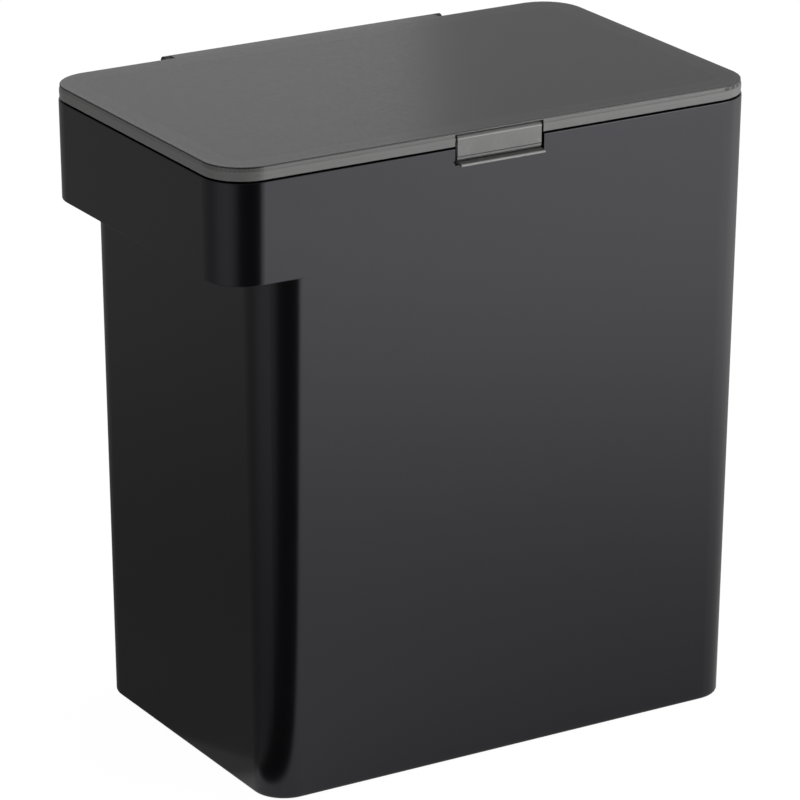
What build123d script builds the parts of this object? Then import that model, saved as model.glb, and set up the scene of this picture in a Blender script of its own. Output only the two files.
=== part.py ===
from build123d import *
import os

os.makedirs("parts", exist_ok=True)

# Pet food storage bin: a drafted tub with a stepped hand hold on its left side, closed by a
# translucent lid that is hinged along the back and latched at the front.
# The origin is the middle of the base. +Z is up, the latch faces -Y and the step is at -X.
# All sizes are millimetres and degrees.

# Outline that the lid and the rim of the tub share
lid_length = 280.0
lid_depth = 170.0
lid_radius = 20.0

# Tub
rim_height = 297.8
rim_proud = 0.3
draft_angle = 0.856
wall = 3.2
floor_thickness = 3.6
base_round = 1.6
floor_fillet = 6.0
rim_round = 0.4
mouth_chamfer = 0.7

# Stepped hand hold
step_reach = 19.4
step_drop = 47.3
ledge_thickness = 3.2

# Lid
lid_gap = 0.8
lid_edge_height = 6.4
plate_thickness = 2.4
plate_band = 2.1
plate_setback = 0.3
plate_round = 0.45
skirt_thickness = 2.0

# Plug wall under the lid, with the groove that holds the seal
plug_inset = 5.3
plug_wall = 1.8
plug_height = 11.4
seal_height = 4.6
seal_seat_depth = 0.6
seal_above_plug_end = 1.4
seal_strip = 1.0
seal_clearance = 0.38
seal_fin_land = 0.25
seal_fin_count = 2
seal_fin_pitch = 2.4
seal_fin_start = 0.5

# Rear hinge
hinge_behind_lid = 4.0
hinge_below_top = 3.0
hinge_pin_radius = 1.5
barrel_radius = 3.0
tongue_length = 143.6
ear_width = 3.0
ear_gap = 0.5
ear_drop = 14.0
running_clearance = 0.06
knuckle_count = 6
knuckle_width = 9.0
pocket_roof = 1.5
lug_reach = 6.2
lug_width = 3.0
lug_angle = -11.0
lug_thickness = 1.6
pin_end_chamfer = 0.3

# Front latch
flap_width = 44.0
flap_thickness = 1.6
knuckle_radius = 2.2
latch_pin_radius = 1.0
notch_side_gap = 1.2
notch_cover = 0.9
notch_top_gap = 0.2
notch_back_gap = 0.7
flap_proud = 0.1
cheek_width = 5.0
cheek_height = 3.6
pin_end_gap = 0.5
recess_side_gap = 1.4
recess_drop = 7.8
recess_depth = 2.2
flap_bottom_gap = 0.4
crease_above_bottom = 3.5
crease_depth = 0.2
groove_above_bottom = 1.4
groove_height = 0.6
groove_depth = 0.7
lip_reach = 3.5
lip_thickness = 1.1
lip_drop = 0.85
lip_root = 0.5
lip_tip_round = 0.5

# Catch in the recess and hook on the flap
catch_width = 30.0
catch_proud = 0.8
catch_below_rim = 2.8
catch_land = 0.3
catch_slope_height = 1.1
hook_gap = 0.2
hook_floor_gap = 0.25
pocket_clearance = 0.3
pocket_side_gap = 0.6
pocket_head_gap = 0.8

# Levels and places that follow from the sizes above
body_length = lid_length + 2 * rim_proud
body_depth = lid_depth + 2 * rim_proud
corner_radius = lid_radius + rim_proud
lid_bottom = rim_height + lid_gap
lid_top = lid_bottom + lid_edge_height
plate_underside = lid_top - plate_thickness
plug_bottom = plate_underside - plug_height
tub_length = body_length - step_reach
tub_center = step_reach / 2
step_underside = rim_height - step_drop
ledge_top = step_underside + ledge_thickness
hinge_y = lid_depth / 2 + hinge_behind_lid
hinge_z = lid_top - hinge_below_top
ear_inside = tongue_length / 2 + ear_gap
flap_face = -lid_depth / 2 - flap_proud
flap_back = flap_face + flap_thickness
latch_y = flap_face + knuckle_radius
latch_z = lid_top - notch_cover - notch_top_gap - knuckle_radius
recess_floor = -body_depth / 2 + recess_depth
recess_bottom = rim_height - recess_drop
notch_width = flap_width + 2 * notch_side_gap
recess_width = flap_width + 2 * recess_side_gap
flap_bottom = recess_bottom + flap_bottom_gap
catch_bottom = rim_height - catch_below_rim
hook_back = recess_floor - hook_floor_gap
hook_top = catch_bottom - hook_gap
catch_face = recess_floor - catch_proud
catch_top = catch_bottom + catch_land + catch_slope_height
pocket_face = catch_face - pocket_clearance
seal_bottom = plug_bottom + seal_above_plug_end


def rounded_block(plane, center_x, length, depth, radius, height, taper=0.0, mode=Mode.ADD):
    """Rounded rectangle on a plane, pushed along Z by height, narrowing by taper."""
    with BuildSketch(plane) as outline:
        with Locations((center_x, 0)):
            RectangleRounded(length, depth, radius)
    extrude(outline.sketch, amount=height, taper=taper, mode=mode)


def lid_block(level, inset, height, taper=0.0, mode=Mode.ADD):
    """Block in the lid's outline, set in by inset, that starts at a level."""
    rounded_block(
        Plane.XY.offset(level),
        0,
        lid_length - 2 * inset,
        lid_depth - 2 * inset,
        lid_radius - inset,
        height,
        taper,
        mode,
    )


def lid_ring(level, outer_inset, inner_inset, height, mode=Mode.ADD):
    """Ring between two insets of the lid's outline that starts at a level."""
    with BuildSketch(Plane.XY.offset(level)) as ring:
        for inset, ring_mode in ((outer_inset, Mode.ADD), (inner_inset, Mode.SUBTRACT)):
            RectangleRounded(
                lid_length - 2 * inset, lid_depth - 2 * inset, lid_radius - inset, mode=ring_mode
            )
    extrude(ring.sketch, amount=height, mode=mode)


def side_profile(x_start, points, length, mode=Mode.ADD):
    """Outline of (y, z) points, pushed along +X from x_start."""
    with BuildSketch(Plane.YZ.offset(x_start)) as profile:
        with BuildLine():
            Polyline(*points, close=True)
        make_face()
    extrude(profile.sketch, amount=length, mode=mode)


def rod_along_x(y, z, radius, x_start, x_end, mode=Mode.ADD):
    """Round bar or bore along X between two places."""
    with BuildSketch(Plane.YZ.offset(x_start)) as section:
        with Locations((y, z)):
            Circle(radius)
    extrude(section.sketch, amount=x_end - x_start, mode=mode)


def edges_at(part, level):
    """Edges that lie flat at a level."""
    return part.edges().filter_by_position(Axis.Z, level - 0.01, level + 0.01)


# Tub: outer form
rim_plane = Plane.XY.offset(rim_height)
inner_depth = body_depth - 2 * wall
inner_radius = corner_radius - wall

with BuildPart() as bin_body:
    rounded_block(
        rim_plane, tub_center, tub_length, body_depth, corner_radius, -rim_height, draft_angle
    )
    fillet(edges_at(bin_body, 0), radius=base_round)
    rounded_block(rim_plane, 0, body_length, body_depth, corner_radius, -step_drop, draft_angle)

    # Inside: the tub's own cavity and the pocket over the step
    rounded_block(
        rim_plane,
        tub_center,
        tub_length - 2 * wall,
        inner_depth,
        inner_radius,
        floor_thickness - rim_height,
        draft_angle,
        Mode.SUBTRACT,
    )
    fillet(edges_at(bin_body, floor_thickness), radius=floor_fillet)
    rounded_block(
        rim_plane,
        0,
        body_length - 2 * wall,
        inner_depth,
        inner_radius,
        ledge_top - rim_height,
        draft_angle,
        Mode.SUBTRACT,
    )
    rim_face = bin_body.faces().sort_by(Axis.Z)[-1]
    fillet(rim_face.outer_wire().edges(), radius=rim_round)
    rim_face = bin_body.faces().sort_by(Axis.Z)[-1]
    chamfer(rim_face.inner_wires()[0].edges(), length=mouth_chamfer)

    # Latch recess in the front wall, with the catch on its floor
    with BuildSketch(Plane.XZ.offset(-recess_floor)):
        with Locations((0, rim_height - recess_drop / 2)):
            Rectangle(recess_width, recess_drop)
    extrude(amount=2 * recess_depth, mode=Mode.SUBTRACT)
    catch_root = recess_floor + wall / 6
    side_profile(
        -catch_width / 2,
        [
            (catch_root, catch_bottom),
            (catch_face, catch_bottom),
            (catch_face, catch_bottom + catch_land),
            (recess_floor, catch_top),
            (catch_root, catch_top),
        ],
        catch_width,
    )

    # Hinge ears on the back wall
    for x_start in (-ear_inside - ear_width, ear_inside):
        with BuildSketch(Plane.YZ.offset(x_start)):
            with Locations((hinge_y, hinge_z)):
                Circle(barrel_radius)
            web_top = rim_height - rim_round
            web_front = hinge_y - barrel_radius
            with Locations((web_front + barrel_radius / 8, web_top - ear_drop / 2)):
                Rectangle(barrel_radius / 4, ear_drop)
            make_hull()
            wall_side = body_depth / 2 - wall / 2
            with Locations(((web_front + wall_side) / 2 + 0.05, web_top - ear_drop / 2)):
                Rectangle(web_front - wall_side + 0.1, ear_drop)
            with Locations((hinge_y, hinge_z)):
                Circle(hinge_pin_radius, mode=Mode.SUBTRACT)
        extrude(amount=ear_width)
bin_body.part.label = "bin_body"

# Lid
with BuildPart() as lid:
    lid_block(lid_top, plate_setback, -plate_band)
    fillet(edges_at(lid, lid_top), radius=plate_round)
    shoulder = lid_top - plate_band
    lid_block(shoulder - plate_setback, 0, plate_setback, taper=45)
    lid_block(lid_bottom, 0, shoulder - plate_setback - lid_bottom)
    lid_block(lid_bottom, skirt_thickness, plate_underside - lid_bottom, mode=Mode.SUBTRACT)

    # Plug wall with its seal groove
    lid_ring(plate_underside, plug_inset, plug_inset + plug_wall, -plug_height)
    lid_ring(seal_bottom, plug_inset, plug_inset + seal_seat_depth, seal_height, Mode.SUBTRACT)

    # Cheeks beside the notch that carry the latch pin, then the notch and the pin's holes
    notch_back = latch_y + knuckle_radius + notch_back_gap
    cheek_front = -lid_depth / 2 + skirt_thickness / 2
    cheek_back = -lid_depth / 2 + plug_inset + plug_wall / 2
    cheek_reach = notch_width / 2 + cheek_width
    with BuildSketch(Plane.XY.offset(plate_underside)):
        with Locations((0, (cheek_front + cheek_back) / 2)):
            Rectangle(2 * cheek_reach, cheek_back - cheek_front)
    extrude(amount=-cheek_height)
    with BuildSketch(Plane.XY.offset(lid_top - notch_cover)):
        with Locations((0, notch_back - lid_depth / 4)):
            Rectangle(notch_width, lid_depth / 2)
    extrude(amount=-lid_edge_height, mode=Mode.SUBTRACT)
    rod_along_x(
        latch_y, latch_z, latch_pin_radius, -cheek_reach, cheek_reach, mode=Mode.SUBTRACT
    )

    # Hinge tongue: a web over the back edge, the barrel, and its stop lugs
    tongue_start = -tongue_length / 2
    web_front = lid_depth / 2 - skirt_thickness / 2
    side_profile(
        tongue_start,
        [
            (web_front, lid_top - plate_round),
            (web_front, lid_top - plate_thickness - plate_round),
            (hinge_y, lid_top - plate_thickness - plate_round),
            (hinge_y, lid_top),
            (lid_depth / 2 - plate_setback - plate_round, lid_top),
        ],
        tongue_length,
    )
    rod_along_x(hinge_y, hinge_z, barrel_radius, tongue_start, -tongue_start)
    rod_along_x(
        hinge_y,
        hinge_z,
        hinge_pin_radius + running_clearance,
        tongue_start,
        -tongue_start,
        mode=Mode.SUBTRACT,
    )

    # Pockets between the knuckles, open below, under a roof that stays
    pitch = (tongue_length - knuckle_width) / (knuckle_count - 1)
    pocket_top = lid_top - pocket_roof
    pocket_front = lid_depth / 2
    with BuildSketch(Plane.XY.offset(pocket_top)):
        with Locations((0, pocket_front + barrel_radius + hinge_behind_lid / 2)):
            with GridLocations(pitch, 1, knuckle_count - 1, 1):
                Rectangle(pitch - knuckle_width, 2 * barrel_radius + hinge_behind_lid)
    extrude(amount=-lid_edge_height, mode=Mode.SUBTRACT)
    for i in (0, knuckle_count - 1):
        lug_x = tongue_start + i * pitch + (knuckle_width - lug_width) / 2
        hinge_side = Plane(origin=(lug_x, hinge_y, hinge_z), x_dir=(0, 1, 0), z_dir=(1, 0, 0))
        with BuildSketch(hinge_side.rotated((0, 0, lug_angle))):
            with Locations((lug_reach / 2, 0)):
                Rectangle(lug_reach, lug_thickness)
            Circle((barrel_radius + hinge_pin_radius) / 2, mode=Mode.SUBTRACT)
        extrude(amount=lug_width)
lid.part.label = "lid"

# Seal: a strip in the plug's groove with two drooping fins that wipe the mouth of the tub
wall_inset = lid_depth / 2 - inner_depth / 2
fin_inset = wall_inset + seal_clearance
strip_inset = plug_inset - seal_strip
seat_inset = plug_inset + seal_seat_depth

with BuildPart() as lid_gasket:
    lid_ring(seal_bottom, strip_inset, seat_inset, seal_height)
    for i in range(seal_fin_count):
        fin_level = seal_bottom + seal_fin_start + i * seal_fin_pitch
        lid_block(fin_level, fin_inset, seal_fin_land)
        lid_block(fin_level + seal_fin_land, fin_inset, strip_inset - fin_inset, taper=45)
    lid_block(seal_bottom, seat_inset, seal_height, mode=Mode.SUBTRACT)
lid_gasket.part.label = "lid_gasket"

# Hinge rod, held in the ears
with BuildPart() as hinge_pin:
    pin_reach = ear_inside + ear_width
    rod_along_x(hinge_y, hinge_z, hinge_pin_radius, -pin_reach, pin_reach)
    chamfer(hinge_pin.edges().filter_by(GeomType.CIRCLE), length=pin_end_chamfer)
hinge_pin.part.label = "hinge_pin"

# Latch flap
with BuildPart() as front_latch:
    half_flap = flap_width / 2
    rod_along_x(latch_y, latch_z, knuckle_radius, -half_flap, half_flap)
    crease_z = flap_bottom + crease_above_bottom
    groove_z = flap_bottom + groove_above_bottom
    lip_tip = flap_face - lip_reach
    side_profile(
        -half_flap,
        [
            (flap_face, latch_z),
            (flap_face, crease_z),
            (flap_face + crease_depth, crease_z - crease_depth),
            (flap_face + crease_depth, groove_z + groove_height),
            (flap_face + groove_depth, groove_z + groove_height),
            (flap_face + groove_depth, groove_z),
            (lip_tip, groove_z - lip_drop),
            (lip_tip, groove_z - lip_drop - lip_thickness),
            (flap_face - lip_root, flap_bottom),
            (hook_back, flap_bottom),
            (hook_back, hook_top),
            (flap_back, hook_top),
            (flap_back, latch_z),
        ],
        flap_width,
    )
    lip_edges = front_latch.edges().group_by(Axis.Y)[0]
    fillet(lip_edges.filter_by(Axis.X), radius=lip_tip_round)

    # Pocket behind the flap that takes the catch
    with BuildSketch(Plane.XY.offset(hook_top)):
        with Locations((0, (pocket_face + latch_y) / 2)):
            Rectangle(catch_width + 2 * pocket_side_gap, latch_y - pocket_face)
    extrude(amount=catch_top + pocket_head_gap - hook_top, mode=Mode.SUBTRACT)
    rod_along_x(
        latch_y,
        latch_z,
        latch_pin_radius + running_clearance,
        -half_flap,
        half_flap,
        mode=Mode.SUBTRACT,
    )
front_latch.part.label = "front_latch"

# Latch pin, held in the lid's cheeks
with BuildPart() as latch_pin:
    latch_pin_reach = notch_width / 2 + cheek_width - pin_end_gap
    rod_along_x(latch_y, latch_z, latch_pin_radius, -latch_pin_reach, latch_pin_reach)
    chamfer(latch_pin.edges().filter_by(GeomType.CIRCLE), length=pin_end_chamfer)
latch_pin.part.label = "latch_pin"

for piece in (bin_body, lid, lid_gasket, hinge_pin, front_latch, latch_pin):
    export_step(piece.part, f"parts/{piece.part.label}.step")
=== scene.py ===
"""Looks of a pet food storage bin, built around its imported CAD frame.

The tub, lid, seal, latch flap and rods are surfaces worked out as numpy arrays, and each one stands
for the CAD node of the same piece. Every level outline on this bin is one of two rectangles of corner
centres pushed outwards by a distance, and every other piece is an outline in the Y-Z plane that is
carried along X. Lengths are metres, and MM turns a size in millimetres into metres.
"""

import math

import bmesh
import bpy
import numpy as np
from bpy.props import FloatProperty, FloatVectorProperty, IntProperty, PointerProperty
from bpy.types import Operator, Panel, PropertyGroup
from mathutils import Matrix, Vector


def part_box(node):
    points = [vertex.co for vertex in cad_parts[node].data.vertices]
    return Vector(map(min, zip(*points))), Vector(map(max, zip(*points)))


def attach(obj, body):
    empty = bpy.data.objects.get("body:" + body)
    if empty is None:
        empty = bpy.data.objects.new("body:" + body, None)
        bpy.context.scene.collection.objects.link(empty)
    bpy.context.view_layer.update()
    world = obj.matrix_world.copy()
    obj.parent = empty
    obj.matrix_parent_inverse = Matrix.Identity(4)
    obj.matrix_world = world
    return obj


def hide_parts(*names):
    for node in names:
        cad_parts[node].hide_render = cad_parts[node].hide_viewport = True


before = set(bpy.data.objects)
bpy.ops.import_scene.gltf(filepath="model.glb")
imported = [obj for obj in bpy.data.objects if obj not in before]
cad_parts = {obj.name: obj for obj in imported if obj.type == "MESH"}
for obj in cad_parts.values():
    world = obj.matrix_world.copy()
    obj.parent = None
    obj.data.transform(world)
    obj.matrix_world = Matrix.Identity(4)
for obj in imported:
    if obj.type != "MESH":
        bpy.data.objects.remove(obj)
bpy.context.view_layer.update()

bl_info = {
    "name": "Latched Storage Bin",
    "version": (1, 0, 0),
    "blender": (4, 5, 0),
    "location": "View3D > Sidebar > Storage Bin",
    "description": "Builds the visible pieces and the studio of a latched pet food storage bin",
    "category": "Object",
}

MM = 0.001
QUARTER = math.pi / 2
MARGIN = 5 * MM  # how far a cutting block reaches past what it cuts
BORE = (-0.1, 0.1)  # from end to end of a cut along X that goes through both ears
SMALL_EDGE = 0.2 * MM  # edge radius at the ends of the ears, the tongue and the lugs
CATCH_DROP = 2.8 * MM  # from the rim down to the catch's underside
HOOK_DROP = 3.0 * MM  # from the rim down to the top of the flap's hook
FLOOR_LEVEL = -0.2 * MM  # just under the base, so that the two don't lie in one plane
RIM_CORNER = 20.3  # millimetres
SHARP = math.radians(32)  # edges that turn further stay sharp
NOISE_RANGE = (0.3, 0.7)  # nearly all of a noise pattern's values lie between these
SOFT = {"interpolation_type": "SMOOTHSTEP"}
COLOURS = {"data_type": "RGBA"}  # sockets 0, 6 and 7 then mix two colours into output 2
WHITE = 1.1  # strength of the backdrop where it is seen
MIRROR_CORNER = (-0.14, -0.05, 0.0)  # on the floor, beside the tub's front left corner
TUB_LOW, TUB_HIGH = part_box("bin_body")
LID_LOW, LID_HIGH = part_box("lid")
ROD_LOW, ROD_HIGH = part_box("hinge_pin")
FLAP_LOW, FLAP_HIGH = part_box("front_latch")
PIN_LOW, PIN_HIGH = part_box("latch_pin")


# Settings

def size(name, millimetres, description):
    """A length that the user may change, given in millimetres."""
    return FloatProperty(
        name=name,
        description=description,
        default=millimetres * MM,
        unit="LENGTH",
        subtype="DISTANCE",
        precision=5,
    )


def linear(hex_colour):
    """Turns an sRGB hex colour into linear red, green, blue and alpha."""
    parts = np.array([int(hex_colour[i:i + 2], 16) for i in (1, 3, 5)]) / 255.0
    curved = ((parts + 0.055) / 1.055) ** 2.4
    return (*np.where(parts <= 0.04045, parts / 12.92, curved).tolist(), 1.0)


def colour(name, hex_colour, description):
    """A colour that the user may change, given as sRGB hex."""
    return FloatVectorProperty(
        name=name,
        description=description,
        default=linear(hex_colour),
        size=4,
        min=0.0,
        max=1.0,
        subtype="COLOR",
    )


class TubSizes(PropertyGroup):
    """Sizes of the tub, its hand hold, its latch recess and its hinge ears."""

    length: size("Length", (TUB_HIGH.x - TUB_LOW.x) / MM, "Outside length at the rim, along X")
    depth: size("Depth", -2 * TUB_LOW.y / MM, "Outside depth at the rim, along Y")
    corner: size("Corner radius", RIM_CORNER, "Radius of the upright corners at the rim")
    rim_height: size("Rim height", 297.8, "Height of the rim over the base")
    draft: FloatProperty(
        name="Draft",
        description="Lean of the sides that lets the tub leave its mould",
        default=math.radians(0.856),
        subtype="ANGLE",
    )
    wall: size("Wall", 3.2, "Thickness of the sides")
    floor: size("Floor", 3.6, "Thickness of the floor")
    base_round: size("Base round", 1.6, "Radius of the edge round the base")
    floor_fillet: size("Floor fillet", 6.0, "Radius between the floor and the sides, inside")
    rim_round: size("Rim round", 0.4, "Radius of the rim's outer edge")
    mouth_chamfer: size("Mouth chamfer", 0.7, "Bevel that guides the seal into the mouth")
    step_reach: size("Step reach", 19.4, "How far the hand hold stands out at the left")
    step_drop: size("Step drop", 47.3, "Height of the hand hold under the rim")
    ledge: size("Ledge", 3.2, "Thickness of the hand hold's underside")
    step_round: size("Step round", 0.5, "Radius of the hand hold's lower edge")
    recess_width: size("Recess width", 46.8, "Width of the latch recess")
    recess_drop: size("Recess drop", 7.8, "Height of the latch recess under the rim")
    recess_depth: size("Recess depth", 2.2, "Depth of the latch recess in the front wall")
    catch_width: size("Catch width", 30.0, "Width of the catch that the flap's hook grips")
    catch_proud: size("Catch height", 0.8, "How far the catch stands out of the recess")
    ear_drop: size("Ear drop", 14.0, "Height of the hinge ears' webs on the back wall")


class LidSizes(PropertyGroup):
    """Sizes of the lid's plate, edge bands, skirt, plug wall and latch notch."""

    length: size("Length", (LID_HIGH.x - LID_LOW.x) / MM, "Outside length, along X")
    depth: size("Depth", -2 * LID_LOW.y / MM, "Outside depth, along Y")
    corner: size("Corner radius", 20.0, "Radius of the corners seen from above")
    edge_height: size("Edge height", 6.4, "Height of the visible edge")
    plate: size("Plate", 2.4, "Thickness of the plate")
    band: size("Upper band", 2.1, "Height of the upper band of the edge")
    setback: size("Setback", 0.3, "How far the upper band is set back")
    edge_round: size("Edge round", 0.45, "Radius of the plate's top edge")
    line_drop: size("Line drop", 4.2, "Depth of the fine line in the edge under the top")
    line_depth: size("Line depth", 0.12, "How far the lower band is set back at the line")
    skirt: size("Skirt", 2.0, "Thickness of the edge under the plate")
    plug_inset: size("Plug inset", 5.3, "Distance from the outline to the plug wall")
    plug_wall: size("Plug wall", 1.8, "Thickness of the plug wall")
    plug_height: size("Plug height", 11.4, "Height of the plug wall under the plate")
    seat_depth: size("Seal seat", 0.6, "Depth of the groove that holds the seal")
    seat_height: size("Seal height", 4.6, "Height of the groove and of the seal in it")
    seat_rise: size("Seal rise", 1.4, "Height of the groove over the plug wall's end")
    notch_width: size("Notch width", 46.4, "Width of the notch for the latch flap")
    notch_cover: size("Notch cover", 0.9, "Thickness of the plate that stays over the flap")
    notch_depth: size("Notch depth", 5.0, "Depth of the notch from the lid's front")
    cheek_width: size("Cheek width", 5.0, "Width of the blocks that hold the latch rod")
    cheek_height: size("Cheek height", 3.6, "Height of those blocks under the plate")


class HingeSizes(PropertyGroup):
    """Sizes of the lid's hinge tongue, its knuckles and stop lugs, and the rod."""

    axis_y: size("Axis Y", 89.0, "Place of the hinge axis behind the middle")
    axis_z: size("Axis Z", 302.0, "Height of the hinge axis")
    barrel: size("Barrel radius", 3.0, "Radius of the knuckles and the ears")
    rod: size("Rod radius", (ROD_HIGH.z - ROD_LOW.z) / 2 / MM, "Radius of the hinge rod")
    tongue: size("Tongue length", 143.6, "Length of the lid's hinge tongue")
    ear_gap: size("Ear gap", 0.5, "Free space between the tongue and an ear")
    ear_width: size("Ear width", 3.0, "Width of each ear")
    clearance: size("Clearance", 0.06, "Running clearance round the rod")
    knuckles: IntProperty(name="Knuckles", description="Number of knuckles", default=6, min=2)
    knuckle_width: size("Knuckle width", 9.0, "Width of each knuckle")
    pocket_roof: size("Pocket roof", 1.5, "Thickness of the tongue over the pockets")
    lug_reach: size("Lug reach", 6.08, "Length of the stop lugs from the axis")
    lug_thickness: size("Lug thickness", 1.6, "Thickness of the stop lugs")
    lug_width: size("Lug width", 3.0, "Width of the stop lugs")
    end_chamfer: size("Rod chamfer", 0.3, "Bevel at the ends of both rods")


class LatchSizes(PropertyGroup):
    """Sizes of the latch flap and its rod."""

    axis_y: size("Axis Y", -82.9, "Place of the latch axis in front of the middle")
    axis_z: size("Axis Z", 301.7, "Height of the latch axis")
    width: size("Width", (FLAP_HIGH.x - FLAP_LOW.x) / MM, "Width of the flap")
    thickness: size("Thickness", 1.6, "Thickness of the flap's plate")
    knuckle: size("Knuckle radius", 2.2, "Radius of the round top of the flap")
    rod: size("Rod radius", (PIN_HIGH.z - PIN_LOW.z) / 2 / MM, "Radius of the latch rod")
    crease_rise: size("Crease rise", 3.5, "Height of the crease over the flap's lower end")
    crease_depth: size("Crease depth", 0.2, "Depth of the band under the crease")
    groove_rise: size("Groove rise", 1.4, "Height of the groove over the flap's lower end")
    groove_height: size("Groove height", 0.6, "Height of the groove over the lip")
    groove_depth: size("Groove depth", 0.7, "Depth of the groove over the lip")
    lip_reach: size("Lip reach", 3.5, "How far the finger lip stands out")
    lip_thickness: size("Lip thickness", 1.1, "Thickness of the lip at its tip")
    lip_drop: size("Lip drop", 0.85, "Fall of the lip's top from root to tip")
    edge_round: size("Edge round", 0.18, "Radius of the flap's small edges")


class Finishes(PropertyGroup):
    """Colours of the bin's materials."""

    tub_black: colour("Tub black", "#070709", "Black ABS of the tub")
    lid_smoke: colour("Lid smoke", "#131312", "Smoke tint of the lid's plate")
    # Painted glow: the paler grey painted where light would leave the lid's edge, and on the latch flap's
    # face
    lid_glow_paint: colour("Lid edge", "#8e8e8d", "Paler grey where light leaves the plate's edge")
    seal_grey: colour("Seal grey", "#3b3b3d", "Silicone rubber of the seal")
    rod_steel: colour("Rod steel", "#c9c7c3", "Stainless steel of the rods")


class StudioSettings(PropertyGroup):
    """Camera, lamps and backdrop."""

    lens: FloatProperty(name="Lens", description="Focal length", default=218.977, unit="CAMERA")
    camera_place: FloatVectorProperty(
        name="Camera place",
        description="Where the camera stands",
        default=(-1.109132, -1.836360, 0.925164),
        size=3,
        subtype="TRANSLATION",
        unit="LENGTH",
    )
    camera_turn: FloatVectorProperty(
        name="Camera turn",
        description="Azimuth, elevation and roll of the camera",
        default=(math.radians(-31.13), math.radians(19.89), math.radians(0.172)),
        size=3,
        subtype="EULER",
        unit="ROTATION",
    )
    backdrop: colour("Backdrop", "#ffffff", "Paper of the floor and the backdrop")
    shadow_share: FloatProperty(
        name="Shadow share",
        description="How much of the floor's own light and shadow shows over plain white",
        default=0.12,
        min=0.0,
        max=1.0,
        subtype="FACTOR",
    )
    world_light: FloatProperty(name="World light", description="Strength of the sky", default=0.28)
    key_power: FloatProperty(
        name="Key lamp", description="Power of the lamp at the front right", default=3.0, unit="POWER"
    )
    back_power: FloatProperty(
        name="Back lamp", description="Power of the lamp at the back left", default=0.3, unit="POWER"
    )
    top_power: FloatProperty(
        name="Top lamp", description="Power of the lamp overhead", default=3.0, unit="POWER"
    )


# Outlines: arrays of points

def walk(stops, count):
    """Lengths along a path of corner centres: those of its stops, and evenly spread ones with them.

    Each stop holds a centre's X and Y and the angle of the outline's normal there. From one stop to
    the next the centre moves in a straight line, or stays while the normal turns, and a turn counts
    as the length of an arc of the rim's corner radius.
    """
    turn_radius = RIM_CORNER * MM
    stops = np.asarray(stops, float)
    moves = np.hypot(*np.diff(stops[:, :2], axis=0).T) + turn_radius * np.abs(np.diff(stops[:, 2]))
    length = np.concatenate(([0.0], np.cumsum(moves)))
    return stops, length, np.unique(np.concatenate((np.linspace(0, length[-1], count), length)))


def sample(stops, length, along):
    """Centre and unit normal (cosine, sine) at lengths along a path, linear between its stops.

    An outline at any reach is centre + reach * normal.
    """
    centre = np.stack([np.interp(along, length, stops[:, k]) for k in (0, 1)], axis=1)
    angle = np.interp(along, length, stops[:, 2])
    return centre, np.stack([np.cos(angle), np.sin(angle)], axis=1)


def skeletons(half_length, half_depth, step):
    """Columns round the rim for the full outline and for the tub under its hand hold.

    Both are loops over the same columns. They share the front, the right and the back. At the left
    the full outline runs out to its own corner centres, and the tub's outline turns at centres that
    lie one step further in. There, equal shares of the two lengths belong to the same column.
    """
    right, back, inner = half_length, half_depth, -half_length + step
    shared = [
        (inner, -back, 3 * QUARTER), (right, -back, 3 * QUARTER), (right, -back, 4 * QUARTER),
        (right, back, 4 * QUARTER), (right, back, 5 * QUARTER), (inner, back, 5 * QUARTER),
    ]
    short = [
        (inner, back, QUARTER), (inner, back, 2 * QUARTER), (inner, -back, 2 * QUARTER),
        (inner, -back, 3 * QUARTER),
    ]
    full = [
        (inner, back, QUARTER), (-right, back, QUARTER), (-right, back, 2 * QUARTER),
        (-right, -back, 2 * QUARTER), (-right, -back, 3 * QUARTER), (inner, -back, 3 * QUARTER),
    ]
    stops, length, along = walk(shared, 150)
    common = [part[:-1] for part in sample(stops, length, along)]
    walks = [walk(path, 110) for path in (short, full)]
    shares = np.unique(np.round(np.concatenate([w[2] / w[1][-1] for w in walks]), 9))
    left = [[part[:-1] for part in sample(w[0], w[1], shares * w[1][-1])] for w in walks]
    tub, rim = ([np.concatenate((common[k], side[k])) for k in (0, 1)] for side in left)
    return rim, tub


def ring(columns, reach, level):
    """One level loop: centre + reach * normal at a height. Reach is one number or one per column."""
    centre, normal = columns
    flat = centre + np.reshape(reach, (-1, 1)) * normal
    return np.column_stack((flat, np.full(len(flat), float(level))))


def arc(steps):
    """Sine and cosine at equal steps over a quarter turn."""
    angle = np.linspace(0, QUARTER, steps)
    return np.sin(angle), np.cos(angle)


def rounded(corners, radii, steps=5):
    """A flat outline whose corners are arcs that touch both of their sides.

    At each corner the arc's centre lies on the line that halves the corner, radius / sin(half) away,
    and its points turn evenly from the one side's foot to the other's. A radius of 0 keeps the corner.
    """
    point = np.asarray(corners, float)
    radius = np.broadcast_to(np.asarray(radii, float), (len(point),))
    before = np.roll(point, 1, axis=0) - point
    after = np.roll(point, -1, axis=0) - point
    before /= np.linalg.norm(before, axis=1, keepdims=True)
    after /= np.linalg.norm(after, axis=1, keepdims=True)
    half = np.arccos(np.clip((before * after).sum(1), -1, 1)) / 2
    middle = before + after
    middle /= np.maximum(np.linalg.norm(middle, axis=1, keepdims=True), 1e-12)
    centre = point + middle * (radius / np.sin(half))[:, None]
    first = point + before * (radius / np.tan(half))[:, None] - centre
    last = point + after * (radius / np.tan(half))[:, None] - centre
    turn = math.pi - 2 * half
    share = np.linspace(0, 1, steps)[None, :, None]
    turn = np.where(turn < 1e-6, 1.0, turn)[:, None, None]
    swept = (
        np.sin((1 - share) * turn) * first[:, None] + np.sin(share * turn) * last[:, None]
    ) / np.sin(turn)
    outline = (centre[:, None] + swept).reshape(-1, 2)
    keep = np.linalg.norm(outline - np.roll(outline, 1, axis=0), axis=1) > 1e-7
    return outline[keep]


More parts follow.
